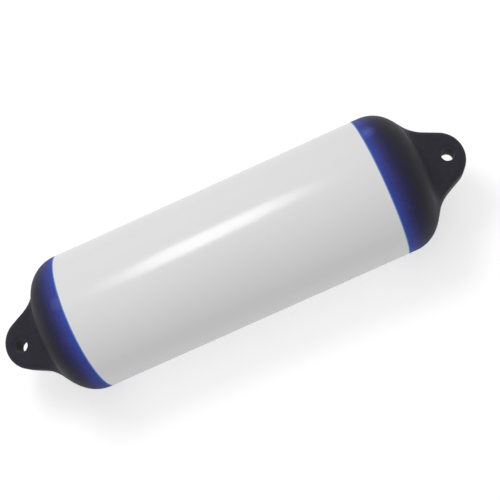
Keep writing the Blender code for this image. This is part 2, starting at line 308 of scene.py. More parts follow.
def choose(tree, condition, when_true, when_false):
    """One of two numbers, by a condition."""
    node = tree.nodes.new("GeometryNodeSwitch")
    node.input_type = "FLOAT"
    wire(tree, condition, node.inputs["Switch"])
    wire(tree, when_true, node.inputs["True"])
    wire(tree, when_false, node.inputs["False"])
    return node.outputs[0]


def stored(tree, geometry, name, kind, value):
    """Keep a value on every point under a name."""
    node = tree.nodes.new("GeometryNodeStoreNamedAttribute")
    node.data_type = kind
    node.domain = "POINT"
    wire(tree, geometry, node.inputs["Geometry"])
    node.inputs["Name"].default_value = name
    wire(tree, value, node.inputs["Value"])
    return node.outputs["Geometry"]


def recalled(tree, name, kind):
    """A value that was kept under a name."""
    node = tree.nodes.new("GeometryNodeInputNamedAttribute")
    node.data_type = kind
    node.inputs["Name"].default_value = name
    return node.outputs["Attribute"]


def new_tree(name, inputs):
    """A geometry tree with named inputs, given as (name, socket kind, default)."""
    tree = bpy.data.node_groups.new(name, "GeometryNodeTree")
    tree.interface.new_socket("Geometry", in_out="OUTPUT", socket_type="NodeSocketGeometry")
    for label, kind, default in inputs:
        item = tree.interface.new_socket(label, in_out="INPUT", socket_type=kind)
        if default is not None:
            item.default_value = default
    entry = tree.nodes.new("NodeGroupInput")
    return tree, entry.outputs


def close_tree(tree, geometry, material):
    """End a tree: real mesh, material, smooth shading."""
    realized = tree.nodes.new("GeometryNodeRealizeInstances")
    wire(tree, geometry, realized.inputs[0])
    smooth = tree.nodes.new("GeometryNodeSetShadeSmooth")
    wire(tree, realized.outputs[0], smooth.inputs["Geometry"])
    dressed = tree.nodes.new("GeometryNodeSetMaterial")
    wire(tree, smooth.outputs[0], dressed.inputs["Geometry"])
    wire(tree, material, dressed.inputs["Material"])
    leave = tree.nodes.new("NodeGroupOutput")
    wire(tree, dressed.outputs[0], leave.inputs[0])


def grown(name, tree, values):
    """A plain mesh piece from a geometry tree and the values of its inputs."""
    seed = bpy.data.objects.new(name + "_seed", bpy.data.meshes.new(name + "_seed"))
    bpy.context.scene.collection.objects.link(seed)
    maker = seed.modifiers.new("maker", "NODES")
    maker.node_group = tree
    for item in tree.interface.items_tree:
        if item.in_out == "INPUT" and item.name in values:
            maker[item.identifier] = values[item.name]
    bpy.context.view_layer.update()
    evaluated = seed.evaluated_get(bpy.context.evaluated_depsgraph_get())
    mesh = bpy.data.meshes.new_from_object(evaluated)
    mesh.name = name
    bpy.data.objects.remove(seed)
    piece = bpy.data.objects.new(name, mesh)
    bpy.context.scene.collection.objects.link(piece)
    return piece


# The moulding's form


def rounded_corner(tree, first, second):
    """Distance outward from the corner where two faces meet."""
    past_first = reckon(tree, "MAXIMUM", first, 0.0)
    past_second = reckon(tree, "MAXIMUM", second, 0.0)
    inside = reckon(tree, "MINIMUM", reckon(tree, "MAXIMUM", first, second), 0.0)
    return reckon(tree, "ADD", hypotenuse(tree, past_first, past_second), inside)


def leaning_sum(tree, along, across, lean):
    """along times the lean's sine plus across times its cosine."""
    first = reckon(tree, "MULTIPLY", along, reckon(tree, "SINE", lean))
    return reckon(tree, "MULTIPLY_ADD", across, reckon(tree, "COSINE", lean), first)


def leaning_difference(tree, along, across, lean):
    """along times the lean's cosine minus across times its sine."""
    first = reckon(tree, "MULTIPLY", along, reckon(tree, "COSINE", lean))
    second = reckon(tree, "MULTIPLY", across, reckon(tree, "SINE", lean))
    return reckon(tree, "SUBTRACT", first, second)


def shell_distance(tree, sizes, x, radius):
    """Distance outward from the round shell: barrel, shoulder arc and leaning end face."""
    lean = sizes["End Face Lean"]
    along = reckon(tree, "SUBTRACT", x, sizes["Straight Half Length"])
    corner = reckon(tree, "SUBTRACT", sizes["Barrel Radius"], sizes["Shoulder Radius"])
    across = reckon(tree, "SUBTRACT", radius, corner)
    face = leaning_sum(tree, across, along, lean)
    face = reckon(tree, "SUBTRACT", face, sizes["Shoulder Radius"])
    side = reckon(tree, "SUBTRACT", radius, sizes["Barrel Radius"])
    flat_sides = reckon(tree, "MAXIMUM", side, face)
    round_part = reckon(tree, "SUBTRACT", hypotenuse(tree, along, across), sizes["Shoulder Radius"])
    before_face = reckon(tree, "GREATER_THAN", leaning_difference(tree, across, along, lean), 0.0)
    past_barrel = reckon(tree, "GREATER_THAN", along, 0.0)
    on_shoulder = reckon(tree, "MULTIPLY", before_face, past_barrel)
    return choose(tree, on_shoulder, round_part, flat_sides)


def lug_distance(tree, sizes, x, y, z):
    """Distance outward from the lug: round tip, spreading flanks, flat cheeks, one edge radius."""
    flank_angle = sizes["Lug Flank Angle"]
    tip_centre = reckon(tree, "ADD", sizes["Straight Half Length"], sizes["Lug Reach"])
    along = reckon(tree, "SUBTRACT", x, tip_centre)
    across = reckon(tree, "ABSOLUTE", y)
    flank = leaning_sum(tree, along, across, flank_angle)
    flank = reckon(tree, "SUBTRACT", flank, sizes["Lug Tip Radius"])
    tip = reckon(tree, "SUBTRACT", hypotenuse(tree, along, across), sizes["Lug Tip Radius"])
    beside_tip = reckon(tree, "GREATER_THAN", leaning_difference(tree, along, across, flank_angle), 0.0)
    outline = choose(tree, beside_tip, tip, flank)
    root = reckon(tree, "SUBTRACT", reckon(tree, "MULTIPLY", along, -1.0), sizes["Lug Root Length"])
    plan = rounded_corner(tree, outline, root)
    edge = sizes["Lug Edge Radius"]
    half = reckon(tree, "MULTIPLY", sizes["Lug Thickness"], 0.5)
    out_of_cheek = reckon(tree, "SUBTRACT", reckon(tree, "ABSOLUTE", z), half)
    out_of_cheek = reckon(tree, "ADD", out_of_cheek, edge)
    out_of_plan = reckon(tree, "ADD", plan, edge)
    return reckon(tree, "SUBTRACT", rounded_corner(tree, out_of_plan, out_of_cheek), edge)


def moulding_distance(tree, sizes, point):
    """Distance outward from the whole moulding, shell and lug joined by a soft fillet."""
    signed_x, y, z = split(tree, point)
    x = reckon(tree, "ABSOLUTE", signed_x)
    shell = shell_distance(tree, sizes, x, hypotenuse(tree, y, z))
    lug = lug_distance(tree, sizes, x, y, z)
    blend = sizes["Root Blend"]
    apart = reckon(tree, "ABSOLUTE", reckon(tree, "SUBTRACT", shell, lug))
    share = reckon(tree, "MAXIMUM", reckon(tree, "SUBTRACT", blend, apart), 0.0)
    share = reckon(tree, "DIVIDE", share, blend)
    fill = reckon(tree, "MULTIPLY", reckon(tree, "MULTIPLY", share, share), blend)
    least = reckon(tree, "MINIMUM", shell, lug)
    return reckon(tree, "MULTIPLY_ADD", fill, -FILLET_SHARE, least)


def unit_post(tree, around, along):
    """A closed post of radius 1 that runs from -1 to 1, and where its points lie."""
    post = tree.nodes.new("GeometryNodeMeshCylinder")
    post.fill_type = "TRIANGLE_FAN"
    wire(tree, around, post.inputs["Vertices"])
    wire(tree, along, post.inputs["Side Segments"])
    post.inputs["Radius"].default_value = 1.0
    post.inputs["Depth"].default_value = 2.0
    place = tree.nodes.new("GeometryNodeInputPosition").outputs[0]
    return post.outputs["Mesh"], split(tree, place)


def moved(tree, geometry, place):
    """A mesh with its points set to new places."""
    node = tree.nodes.new("GeometryNodeSetPosition")
    wire(tree, geometry, node.inputs["Geometry"])
    wire(tree, place, node.inputs["Position"])
    return node.outputs[0]


def ray_net(tree, sizes):
    """A closed net whose points each know a seat on the axis and a ray that leaves it outward."""
    net, (across_y, across_z, signed_share) = unit_post(tree, sizes["Points Around"], sizes["Rings Along"])
    side = reckon(tree, "SIGN", signed_share)
    share = reckon(tree, "ABSOLUTE", signed_share)
    on_barrel = remap(tree, share, 0.0, NET_BARREL_END, 0.0, 1.0)
    on_shoulder = remap(tree, share, NET_BARREL_END, NET_SHOULDER_END, 0.0, 1.0)
    on_root = remap(tree, share, NET_SHOULDER_END, NET_ROOT_END, 0.0, 1.0)
    sweep = reckon(tree, "SUBTRACT", math.pi / 2, sizes["End Face Lean"])
    barrel = reckon(tree, "MULTIPLY", on_barrel, sizes["Straight Half Length"])
    arc = reckon(tree, "SINE", reckon(tree, "MULTIPLY", on_shoulder, sweep))
    shoulder = reckon(tree, "MULTIPLY", arc, sizes["Shoulder Radius"])
    full_arc = reckon(tree, "MULTIPLY", reckon(tree, "SINE", sweep), sizes["Shoulder Radius"])
    root_run = reckon(tree, "SUBTRACT", sizes["Lug Reach"], full_arc)
    eased = reckon(tree, "POWER", on_root, NET_ROOT_EASING)
    root = reckon(tree, "MULTIPLY", eased, root_run)
    place = reckon(tree, "ADD", reckon(tree, "ADD", barrel, shoulder), root)
    lean = remap(tree, share, NET_ROOT_END, 1.0, math.pi / 2, NET_TIP_LEAN)
    seat = joined(tree, reckon(tree, "MULTIPLY", place, side), 0.0, 0.0)
    lift = reckon(tree, "SINE", lean)
    ray = joined(
        tree,
        reckon(tree, "MULTIPLY", reckon(tree, "COSINE", lean), side),
        reckon(tree, "MULTIPLY", lift, across_y),
        reckon(tree, "MULTIPLY", lift, across_z),
    )
    geometry = stored(tree, net, "seat", "FLOAT_VECTOR", seat)
    geometry = stored(tree, geometry, "ray", "FLOAT_VECTOR", ray)
    return stored(tree, geometry, "reach", "FLOAT", 0.0)


def along_ray(tree, reach):
    """The point that lies a given reach along each ray."""
    step = tree.nodes.new("ShaderNodeVectorMath")
    step.operation = "MULTIPLY_ADD"
    wire(tree, recalled(tree, "ray", "FLOAT_VECTOR"), step.inputs[0])
    wire(tree, joined(tree, reach, reach, reach), step.inputs[1])
    wire(tree, recalled(tree, "seat", "FLOAT_VECTOR"), step.inputs[2])
    return step.outputs[0]


def search_outward(tree, sizes, geometry):
    """Lengthen every ray by ever smaller steps while its end is still inside the moulding."""
    start = tree.nodes.new("GeometryNodeRepeatInput")
    stop = tree.nodes.new("GeometryNodeRepeatOutput")
    start.pair_with_output(stop)
    wire(tree, sizes["Search Steps"], start.inputs["Iterations"])
    wire(tree, geometry, start.inputs["Geometry"])
    turn = start.outputs["Iteration"]
    share = reckon(tree, "POWER", 0.5, turn)
    step = reckon(tree, "MULTIPLY", share, sizes["Barrel Radius"])
    reach = recalled(tree, "reach", "FLOAT")
    trial = reckon(tree, "ADD", reach, step)
    inside = reckon(tree, "LESS_THAN", moulding_distance(tree, sizes, along_ray(tree, trial)), 0.0)
    better = choose(tree, inside, trial, reach)
    kept = stored(tree, start.outputs["Geometry"], "reach", "FLOAT", better)
    wire(tree, kept, stop.inputs["Geometry"])
    return stop.outputs["Geometry"]


def eye_cutter(tree, sizes, side):
    """The space of one rope eye: a straight bore that rounds outward at both cheeks."""
    post, (across_x, across_y, signed_share) = unit_post(tree, EYE_AROUND, EYE_ALONG)
    share = reckon(tree, "ABSOLUTE", signed_share)
    lip = sizes["Eye Lip Radius"]
    half = reckon(tree, "MULTIPLY", sizes["Lug Thickness"], 0.5)
    angle = remap(tree, share, EYE_STRAIGHT_END, EYE_LIP_END, 0.0, EYE_LIP_SWEEP)
    on_straight = remap(tree, share, 0.0, EYE_STRAIGHT_END, 0.0, 1.0)
    straight = reckon(tree, "MULTIPLY", on_straight, reckon(tree, "SUBTRACT", half, lip))
    height = reckon(tree, "MULTIPLY_ADD", reckon(tree, "SINE", angle), lip, straight)
    height = reckon(tree, "ADD", height, remap(tree, share, EYE_LIP_END, 1.0, 0.0, EYE_OVERRUN))
    opened = reckon(tree, "SUBTRACT", 1.0, reckon(tree, "COSINE", angle))
    flare = remap(tree, share, EYE_LIP_END, EYE_FLARE_END, 0.0, EYE_FLARE_WIDTH)
    radius = reckon(tree, "MULTIPLY_ADD", opened, lip, sizes["Eye Radius"])
    radius = reckon(tree, "ADD", radius, flare)
    centre = reckon(tree, "ADD", sizes["Straight Half Length"], sizes["Lug Reach"])
    centre = reckon(tree, "ADD", centre, sizes["Eye Out From Tip Centre"])
    placed = joined(
        tree,
        reckon(tree, "MULTIPLY_ADD", across_x, radius, reckon(tree, "MULTIPLY", centre, side)),
        reckon(tree, "MULTIPLY", across_y, radius),
        reckon(tree, "MULTIPLY", height, reckon(tree, "SIGN", signed_share)),
    )
    return moved(tree, post, placed)


def skin_tree():
    """The whole outer skin with its lugs and eyes, standing at its height over the floor."""
    lengths = (
        ("Barrel Radius", BARREL_RADIUS),
        ("Straight Half Length", STRAIGHT_HALF_LENGTH),
        ("Shoulder Radius", SHOULDER_RADIUS),
        ("End Face Lean", END_FACE_LEAN),
        ("Rest Flat Depth", REST_FLAT_DEPTH),
        ("Lug Reach", LUG_REACH),
        ("Lug Tip Radius", LUG_TIP_RADIUS),
        ("Lug Flank Angle", LUG_FLANK_ANGLE),
        ("Lug Thickness", LUG_THICKNESS),
        ("Lug Edge Radius", LUG_EDGE_RADIUS),
        ("Lug Root Length", LUG_ROOT_LENGTH),
        ("Root Blend", ROOT_BLEND),
        ("Eye Radius", EYE_RADIUS),
        ("Eye Lip Radius", EYE_LIP_RADIUS),
        ("Eye Out From Tip Centre", EYE_OUT_FROM_TIP_CENTRE),
    )
    counts = (
        ("Points Around", SKIN_AROUND),
        ("Rings Along", SKIN_ALONG),
        ("Search Steps", SEARCH_STEPS),
    )
    inputs = [(label, "NodeSocketFloat", value) for label, value in lengths]
    inputs += [(label, "NodeSocketInt", value) for label, value in counts]
    inputs.append(("Skin Finish", "NodeSocketMaterial", None))
    tree, sizes = new_tree("fender_skin_form", inputs)
    geometry = search_outward(tree, sizes, ray_net(tree, sizes))
    x, y, z = split(tree, along_ray(tree, recalled(tree, "reach", "FLOAT")))
    axis_height = reckon(tree, "SUBTRACT", sizes["Barrel Radius"], sizes["Rest Flat Depth"])
    resting = reckon(tree, "MAXIMUM", z, reckon(tree, "MULTIPLY", axis_height, -1.0))
    shaped = moved(tree, geometry, joined(tree, x, y, resting))
    pierced = tree.nodes.new("GeometryNodeMeshBoolean")
    pierced.operation = "DIFFERENCE"
    pierced.solver = "EXACT"
    wire(tree, shaped, pierced.inputs["Mesh 1"])
    wire(tree, eye_cutter(tree, sizes, 1.0), pierced.inputs["Mesh 2"])
    wire(tree, eye_cutter(tree, sizes, -1.0), pierced.inputs["Mesh 2"])
    lifted = tree.nodes.new("GeometryNodeTransform")
    wire(tree, pierced.outputs["Mesh"], lifted.inputs["Geometry"])
    wire(tree, joined(tree, 0.0, 0.0, axis_height), lifted.inputs["Translation"])
    close_tree(tree, lifted.outputs[0], sizes["Skin Finish"])
    return tree


def carved(piece, tool_mesh):
    """A piece's mesh with a tool's shape cut out of it for good."""
    tool = bpy.data.objects.new(tool_mesh.name, tool_mesh)
    bpy.context.scene.collection.objects.link(tool)
    cut = piece.modifiers.new(tool_mesh.name, "BOOLEAN")
    cut.operation = "DIFFERENCE"
    cut.solver = "EXACT"
    cut.object = tool
    bpy.context.view_layer.update()
    evaluated = piece.evaluated_get(bpy.context.evaluated_depsgraph_get())
    mesh = bpy.data.meshes.new_from_object(evaluated)
    piece.modifiers.clear()
    piece.data = mesh
    bpy.data.objects.remove(tool)
    return mesh


def make_skin(finish, coat):
    """The glossy outer skin, with the seat for the valve cut in and the coat on both ends."""
    skin = grown("fender_skin", skin_tree(), {"Skin Finish": finish})
    mesh = carved(skin, turned_mesh("seat", seat_profile(), VALVE_AROUND, valve_placing()))
    mesh.name = "fender_skin"
    mesh.materials.clear()
    mesh.materials.append(finish)
    mesh.materials.append(coat)
    tidy = bmesh.new()
    tidy.from_mesh(mesh)
    bmesh.ops.remove_doubles(tidy, verts=tidy.verts, dist=MERGE_DISTANCE)
    bmesh.ops.dissolve_degenerate(tidy, edges=tidy.edges, dist=MERGE_DISTANCE)
    for edge_x in (COAT_EDGE_PLAIN_END, COAT_EDGE_VALVE_END):
        bmesh.ops.bisect_plane(
            tidy,
            geom=tidy.verts[:] + tidy.edges[:] + tidy.faces[:],
            dist=CUT_TOLERANCE,
            plane_co=(edge_x, 0.0, 0.0),
            plane_no=(1.0, 0.0, 0.0),
        )
    for face in tidy.faces:
        middle = face.calc_center_median().x
        face.material_index = 0 if COAT_EDGE_PLAIN_END < middle < COAT_EDGE_VALVE_END else 1
    tidy.to_mesh(mesh)
    tidy.free()
    mesh.shade_smooth()
    mesh.set_sharp_from_angle(angle=SHARP_ANGLE)
    for name in ("seat", "ray", "reach"):
        if name in mesh.attributes:
            mesh.attributes.remove(mesh.attributes[name])
    return skin


# The valve's pieces


def valve_placing():
    """Where the valve sits: on the +X end face under the lug, its own +Z pointing outward."""
    face_x = STRAIGHT_HALF_LENGTH + SHOULDER_RADIUS * math.cos(END_FACE_LEAN)
    face_radius = BARREL_RADIUS - SHOULDER_RADIUS + SHOULDER_RADIUS * math.sin(END_FACE_LEAN)
    x = face_x + (face_radius - VALVE_BELOW_AXIS) * math.tan(END_FACE_LEAN)
    turn = Matrix.Rotation(math.pi / 2 + END_FACE_LEAN, 4, "Y")
    return Matrix.Translation((x, 0.0, AXIS_HEIGHT - VALVE_BELOW_AXIS)) @ turn


def turned_mesh(name, profile, segments, placing):
    """A closed mesh turned from (radius, height) points round +Z, then put in place."""
    mesh = bpy.data.meshes.new(name)
    shape = bmesh.new()
    loops = []
    for radius, height in profile:
        if radius == 0.0:
            loops.append([shape.verts.new((0.0, 0.0, height))])
            continue
        loop = []
        for step in range(segments):
            angle = step * 2 * math.pi / segments
            loop.append(shape.verts.new((radius * math.cos(angle), radius * math.sin(angle), height)))
        loops.append(loop)
    pairs = list(zip(loops, loops[1:]))
    if profile[0][0] != 0.0:
        pairs.append((loops[-1], loops[0]))
    for near_loop, far_loop in pairs:
        for index in range(segments):
            after = (index + 1) % segments
            if len(near_loop) == 1:
                shape.faces.new((near_loop[0], far_loop[after], far_loop[index]))
            elif len(far_loop) == 1:
                shape.faces.new((near_loop[index], near_loop[after], far_loop[0]))
            else:
                shape.faces.new((near_loop[index], near_loop[after], far_loop[after], far_loop[index]))
    bmesh.ops.recalc_face_normals(shape, faces=shape.faces)
    shape.transform(placing)
    shape.to_mesh(mesh)
    shape.free()
    return mesh


def seat_profile():
    """What is cut out of the skin for the valve."""
    seat = VALVE_FLANGE_RADIUS + FIT_GAP
    bore = VALVE_STEM_RADIUS + FIT_GAP
    bottom = -WALL - VALVE_BOSS_LENGTH
    return [
        (0.0, bottom),
        (bore, bottom),
        (bore, -VALVE_SEAT_DEPTH),
        (seat, -VALVE_SEAT_DEPTH),
        (seat, SEAT_OVERRUN),
        (0.0, SEAT_OVERRUN),
    ]


def valve_levels():
    """Heights of the valve's own faces, by name, from its flange inward."""
    levels = {"flange bottom": -VALVE_SEAT_DEPTH + FIT_GAP}
    levels["flange top"] = levels["flange bottom"] + VALVE_FLANGE_THICKNESS
    levels["head top"] = levels["flange top"] - FIT_GAP
    levels["head bottom"] = levels["head top"] - SCREW_HEAD_HEIGHT
    levels["seal top"] = levels["head bottom"] - FIT_GAP
    levels["seal bottom"] = levels["seal top"] - SEAL_THICKNESS
    levels["pocket floor"] = levels["seal bottom"] - FIT_GAP
    levels["stem bottom"] = levels["flange bottom"] - VALVE_STEM_LENGTH
    return levels


def softened(profile, radii, closed):
    """A profile with its corners rounded, one radius for each corner."""
    points = [Vector(point) for point in profile]
    count = len(points)
    rounded = []
    for index, (corner, radius) in enumerate(zip(points, radii)):
        if radius == 0.0 or (not closed and index in (0, count - 1)):
            rounded.append((corner.x, corner.y))
            continue
        before = (points[index - 1] - corner).normalized()
        after = (points[(index + 1) % count] - corner).normalized()
        half_angle = before.angle(after) / 2
        run = radius / math.tan(half_angle)
        centre = corner + (before + after).normalized() * (radius / math.sin(half_angle))
        first = corner + before * run - centre
        last = corner + after * run - centre
        for step in range(CORNER_STEPS + 1):
            share = step / CORNER_STEPS
            arm = (first * (1 - share) + last * share).normalized() * radius
            point = centre + arm
            rounded.append((point.x, point.y))
    return rounded


def add_piece(name, mesh, finish):
    """A finished piece with one material and smooth shading."""
    mesh.materials.clear()
    mesh.materials.append(finish)
    mesh.shade_smooth()
    mesh.set_sharp_from_angle(angle=SHARP_ANGLE)
    piece = bpy.data.objects.new(name, mesh)
    bpy.context.scene.collection.objects.link(piece)
    return piece


def make_valve_insert(finish):
    """The stiff insert: flange, stem, pocket for the screw's head and air bore."""
    levels = valve_levels()
    flange_top = levels["flange top"]
    pocket = SCREW_HEAD_RADIUS + FIT_GAP
    bore = SCREW_SHANK_RADIUS + FIT_GAP
    profile = [
        (bore, levels["pocket floor"]),
        (pocket, levels["pocket floor"]),
        (pocket, flange_top),
        (GROOVE_RADIUS - GROOVE_HALF_WIDTH, flange_top),
        (GROOVE_RADIUS - GROOVE_HALF_WIDTH, flange_top - GROOVE_DEPTH),
        (GROOVE_RADIUS + GROOVE_HALF_WIDTH, flange_top - GROOVE_DEPTH),
        (GROOVE_RADIUS + GROOVE_HALF_WIDTH, flange_top),
        (VALVE_FLANGE_RADIUS, flange_top),
        (VALVE_FLANGE_RADIUS, levels["flange bottom"]),
        (VALVE_STEM_RADIUS, levels["flange bottom"]),
        (VALVE_STEM_RADIUS, levels["stem bottom"]),
        (bore, levels["stem bottom"]),
    ]
    rounded = softened(profile, INSERT_CORNERS, True)
    mesh = turned_mesh("valve_insert", rounded, VALVE_AROUND, valve_placing())
    return add_piece("valve_insert", mesh, finish)


def make_valve_gasket(finish):
    """The soft flat ring under the screw's head."""
    levels = valve_levels()
    bottom, top = levels["seal bottom"], levels["seal top"]
    inner = SCREW_SHANK_RADIUS + FIT_GAP
    outer = inner + SEAL_WIDTH
    rounded = softened([(inner, bottom), (outer, bottom), (outer, top), (inner, top)], GASKET_CORNERS, True)
    mesh = turned_mesh("valve_gasket", rounded, VALVE_AROUND, valve_placing())
    return add_piece("valve_gasket", mesh, finish)


def make_valve_plug(finish):
    """The slotted screw that shuts the air bore."""
    levels = valve_levels()
    profile = [
        (0.0, levels["stem bottom"]),
        (SCREW_SHANK_RADIUS, levels["stem bottom"]),
        (SCREW_SHANK_RADIUS, levels["head bottom"]),
        (SCREW_HEAD_RADIUS, levels["head bottom"]),
        (SCREW_HEAD_RADIUS, levels["head top"]),
        (0.0, levels["head top"]),
    ]
    placing = valve_placing()
    mesh = turned_mesh("valve_plug", softened(profile, PLUG_CORNERS, False), VALVE_AROUND, placing)
    plug = add_piece("valve_plug", mesh, finish)
    # The slot's cutter is centred on the head's top, so half of its height is the slot's depth
    slot = bmesh.new()
    bmesh.ops.create_cube(slot, size=1.0)
    slot_size = (3 * SCREW_HEAD_RADIUS, SCREW_SLOT_WIDTH, 2 * SCREW_SLOT_DEPTH)
    bmesh.ops.scale(slot, vec=Vector(slot_size), verts=slot.verts)
    slot.transform(placing @ Matrix.Translation((0.0, 0.0, levels["head top"])))
    slot_mesh = bpy.data.meshes.new("slot")
    slot.to_mesh(slot_mesh)
    slot.free()
    carved(plug, slot_mesh).set_sharp_from_angle(angle=SHARP_ANGLE)
    return plug


# Finishes


def new_finish(name):
    """A new material with its tree and main shader."""
    finish = bpy.data.materials.new(name)
    finish.use_nodes = True
    return finish, finish.node_tree, finish.node_tree.nodes["Principled BSDF"]


def object_place(tree):
    """Place on the piece, in its own coordinates."""
    return tree.nodes.new("ShaderNodeTexCoord").outputs["Object"]


def mottle(tree, place, noise, stretch=None):
    """Soft noise at a place; noise is (features to the metre, detail)."""
    node = tree.nodes.new("ShaderNodeTexNoise")
    if stretch is not None:
        mapping = tree.nodes.new("ShaderNodeMapping")
        wire(tree, place, mapping.inputs["Vector"])
        mapping.inputs["Scale"].default_value = stretch
        place = mapping.outputs[0]
    wire(tree, place, node.inputs["Vector"])
    node.inputs["Scale"].default_value = noise[0]
    node.inputs["Detail"].default_value = noise[1]
    node.inputs["Roughness"].default_value = NOISE_ROUGHNESS
    return node.outputs["Fac"]


def tinted(tree, share, first, second):
    """A colour between two, by a share from 0 to 1."""
    node = tree.nodes.new("ShaderNodeMix")
    node.data_type = "RGBA"
    wire(tree, share, node.inputs["Factor"])
    for index, colour in ((MIX_FIRST_COLOUR, first), (MIX_SECOND_COLOUR, second)):
        if isinstance(colour, tuple):
            colour = (*colour, 1.0)
        wire(tree, colour, node.inputs[index])
    return node.outputs[MIX_COLOUR_RESULT]


def bumped(tree, height, distance, strength=1.0, under=None):
    """A surface normal raised by a height map."""
    node = tree.nodes.new("ShaderNodeBump")
    node.inputs["Strength"].default_value = strength
    node.inputs["Distance"].default_value = distance
    wire(tree, height, node.inputs["Height"])
    if under is not None:
        wire(tree, under, node.inputs["Normal"])
    return node.outputs["Normal"]


def ramp(tree, value, stops):
    """A colour that runs through stops given as (position, colour)."""
    node = tree.nodes.new("ShaderNodeValToRGB")
    wire(tree, value, node.inputs["Fac"])
    band = node.color_ramp
    band.interpolation = "LINEAR"
    while len(band.elements) < len(stops):
        band.elements.new(0.5)
    for element, (position, colour) in zip(band.elements, stops):
        element.position = position
        element.color = (*colour, 1.0)
    return node.outputs["Color"]


def parting_ridge(tree, z):
    """Height of the faint flash line where the two halves of the mould met, 1 on it and 0 off it."""
    off_line = reckon(tree, "ABSOLUTE", reckon(tree, "SUBTRACT", z, AXIS_HEIGHT))
    return remap(tree, off_line, 0.0, PARTING_HALF_WIDTH, 1.0, 0.0)


def by_noise(tree, noise, span):
    """A value that runs over a span, from its first end to its last, as the noise rises."""
    return remap(tree, noise, NOISE_LOW, NOISE_HIGH, span[0], span[1])


def make_white_finish():
    """Soft glossy white vinyl with a faint mottle, a slow unevenness and a fine peel."""
    finish, tree, shader = new_finish("glossy_white_vinyl")
    place = object_place(tree)
    z = split(tree, place)[2]
    cloud = mottle(tree, place, WHITE_CLOUD)
    wire(tree, tinted(tree, cloud, WHITE_DARK, WHITE_LIGHT), shader.inputs["Base Color"])
    haze = mottle(tree, place, WHITE_HAZE)
    wire(tree, by_noise(tree, haze, WHITE_ROUGHNESS), shader.inputs["Roughness"])
    wave = bumped(tree, mottle(tree, place, WHITE_WAVE, WHITE_WAVE_STRETCH), WHITE_WAVE_HEIGHT)
    peel = bumped(tree, mottle(tree, place, WHITE_PEEL), WHITE_PEEL_HEIGHT, 1.0, wave)
    ridged = bumped(tree, parting_ridge(tree, z), PARTING_HEIGHT, PARTING_STRENGTH, peel)
    wire(tree, ridged, shader.inputs["Normal"])
    return finish


def coat_colour(tree, place):
    """Colour of the coat: blue by depth, a pale rim, painted glint spots and the worn walls of the eyes."""
    x, y = split(tree, place)[:2]
    past_valve_edge = reckon(tree, "SUBTRACT", x, COAT_EDGE_VALVE_END)
    past_plain_edge = reckon(tree, "SUBTRACT", COAT_EDGE_PLAIN_END, x)
    past_edge = reckon(tree, "MAXIMUM", past_valve_edge, past_plain_edge)
    drift = reckon(tree, "SUBTRACT", mottle(tree, place, COAT_DRIFT), NOISE_MIDDLE)
    depth = reckon(tree, "MULTIPLY_ADD", drift, COAT_DRIFT_REACH, past_edge)
    blue = ramp(tree, remap(tree, depth, 0.0, COAT_DEPTH, 0.0, 1.0), COAT_STOPS)
    off_rim = remap(tree, past_edge, COAT_RIM_SPAN[0], COAT_RIM_SPAN[1], 0.0, 1.0)
    colour = tinted(tree, off_rim, COAT_RIM_BLUE, blue)
    # Painted glints: pale blue spots that stand in for highlights on the coat near its edges
    for spot, reach, strength in PAINTED_GLINT_SPOTS:
        away = tree.nodes.new("ShaderNodeVectorMath")
        away.operation = "DISTANCE"
        wire(tree, place, away.inputs[0])
        away.inputs[1].default_value = spot
        glint_share = remap(tree, away.outputs["Value"], 0.0, reach, strength, 0.0)
        colour = tinted(tree, glint_share, colour, PAINTED_GLINT_BLUE)
    past_eye = reckon(tree, "SUBTRACT", reckon(tree, "ABSOLUTE", x), EYE_PLACE)
    from_eye = hypotenuse(tree, past_eye, y)
    worn_from = EYE_RADIUS + EYE_WORN_SPAN[0]
    worn_to = EYE_RADIUS + EYE_WORN_SPAN[1]
    off_eye = remap(tree, from_eye, worn_from, worn_to, 0.0, 1.0)
    return tinted(tree, off_eye, EYE_WORN_GREY, colour)


def make_coat_finish():
    """The blue coat: bright at its edge, deepening to near black toward the lugs."""
    finish, tree, shader = new_finish("deep_blue_coat")
    place = object_place(tree)
    colour = coat_colour(tree, place)
    fleck = by_noise(tree, mottle(tree, place, COAT_FLECK), COAT_FLECK_SPAN)
    shade = tree.nodes.new("ShaderNodeVectorMath")
    shade.operation = "SCALE"
    wire(tree, colour, shade.inputs[0])
    wire(tree, fleck, shade.inputs["Scale"])
    wire(tree, shade.outputs[0], shader.inputs["Base Color"])
    haze = mottle(tree, place, COAT_HAZE)
    wire(tree, by_noise(tree, haze, COAT_ROUGHNESS), shader.inputs["Roughness"])
    shader.inputs["Specular IOR Level"].default_value = COAT_SPECULAR
    wave = bumped(tree, mottle(tree, place, COAT_WAVE), COAT_WAVE_HEIGHT)
    peel = bumped(tree, mottle(tree, place, COAT_PEEL), COAT_PEEL_HEIGHT, 1.0, wave)
    ridge = parting_ridge(tree, split(tree, place)[2])
    ridged = bumped(tree, ridge, PARTING_HEIGHT, PARTING_STRENGTH, peel)
    wire(tree, ridged, shader.inputs["Normal"])
    return finish


def make_plastic_finish(name, shades, roughness):
    """Stiff moulded plastic with a faint grain."""
    finish, tree, shader = new_finish(name)
    place = object_place(tree)
    grain = mottle(tree, place, GRAIN)
    wire(tree, tinted(tree, grain, shades[0], shades[1]), shader.inputs["Base Color"])
    span = (roughness - GRAIN_ROUGHNESS_SPREAD, roughness + GRAIN_ROUGHNESS_SPREAD)
    wire(tree, by_noise(tree, grain, span), shader.inputs["Roughness"])
    wire(tree, bumped(tree, mottle(tree, place, GRAIN_BUMP), GRAIN_BUMP_HEIGHT), shader.inputs["Normal"])
    return finish


# Floor, light and camera


def background_rays(tree):
    """Two switches: rays straight from the camera, and rays that a glossy or clear piece sends on."""
    rays = tree.nodes.new("ShaderNodeLightPath")
    passed_on = reckon(tree, "MAXIMUM", rays.outputs["Is Glossy Ray"], rays.outputs["Is Transmission Ray"])
    return rays.outputs["Is Camera Ray"], passed_on


